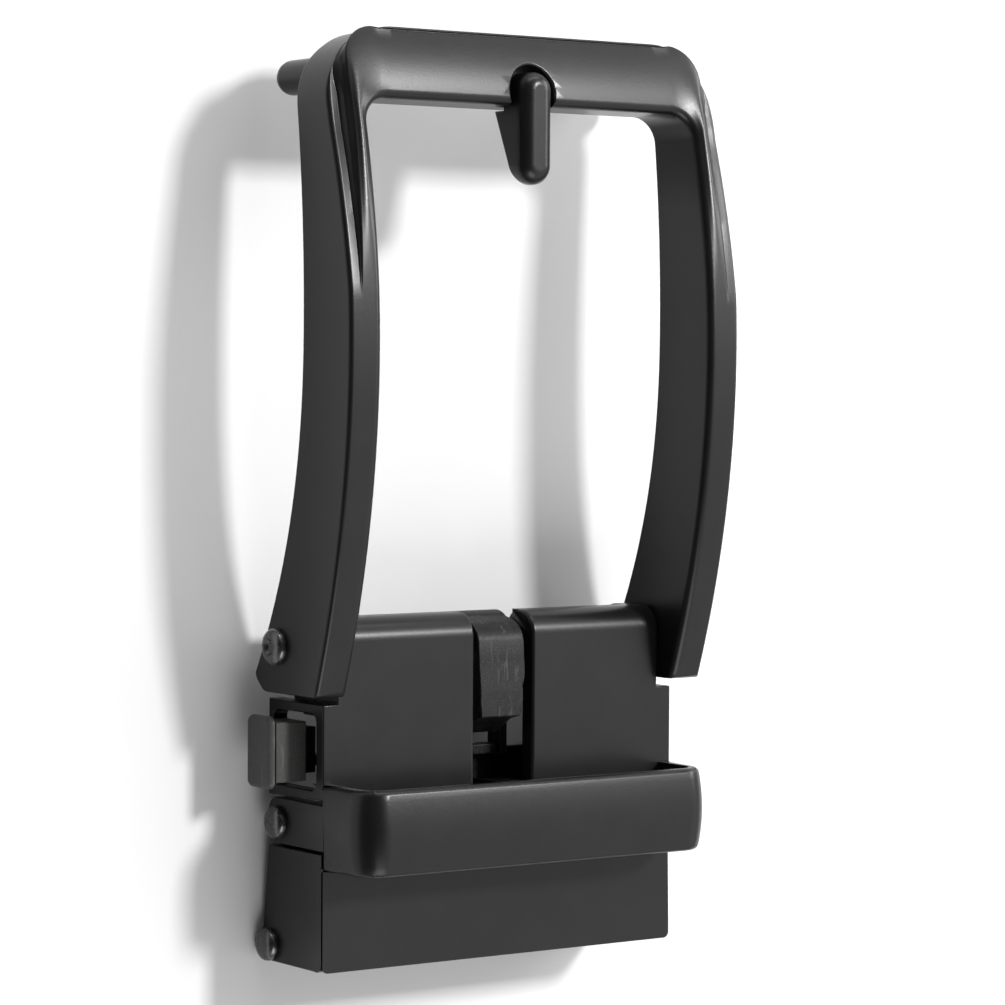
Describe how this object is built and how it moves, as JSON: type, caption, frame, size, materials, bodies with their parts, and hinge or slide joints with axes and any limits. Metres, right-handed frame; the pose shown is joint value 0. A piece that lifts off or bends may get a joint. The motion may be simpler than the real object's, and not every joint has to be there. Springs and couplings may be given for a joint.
{
  "type": "ratchet belt buckle",
  "caption": "Ratchet belt buckle with a bowed open frame hinged on a slotted housing, keeper band, spring pawl with side release tab, and a hinged clamp for the strap's end.",
  "frame": {"origin": "on the surface under the buckle as it lies on its back, in the middle of the housing's width, under the edge where the strap enters", "axes": "+X across the strap towards the side without the release tab, +Y along the buckle from the strap's entry to the end bar, +Z out of the front face"},
  "size_m": [0.0445, 0.0824, 0.0177],
  "materials": {
    "black_casting": "satin black coating with a fine grain",
    "black_frame": "satin black coating, fine sandblasted grain on the end bar",
    "gunmetal": "dark worn steel with bright edges",
    "rivet_steel": "glossy blackened steel",
    "spring_wire": "drawn wire"
  },
  "bodies": {
    "housing_body": {"housing": "black_casting", "hinge_pin": "rivet_steel", "stop_pin": "rivet_steel", "pawl_spring": "spring_wire"},
    "frame_body": {"frame": "black_frame", "tongue": "black_casting"},
    "pawl_body": {"pawl": "gunmetal"},
    "clamp_body": {"clamp": "black_casting", "clamp_jaw": "gunmetal", "clamp_pin": "rivet_steel"}
  },
  "joints": [
    {"name": "frame_hinge", "type": "hinge", "parent": "housing_body", "child": "frame_body", "pos_m": [0, 0.0284, 0.0059], "axis": [1, 0, 0], "range_deg": [-70, 6]},
    {"name": "pawl_hinge", "type": "hinge", "parent": "housing_body", "child": "pawl_body", "pos_m": [0, 0.0284, 0.0059], "axis": [1, 0, 0], "range_deg": [0, 6], "stiffness_Nm_per_rad": 0.02, "springref_deg": -20.05},
    {"name": "clamp_hinge", "type": "hinge", "parent": "housing_body", "child": "clamp_body", "pos_m": [0, 0.01255, 0.0029], "axis": [1, 0, 0], "range_deg": [0, 75]}
  ]
}
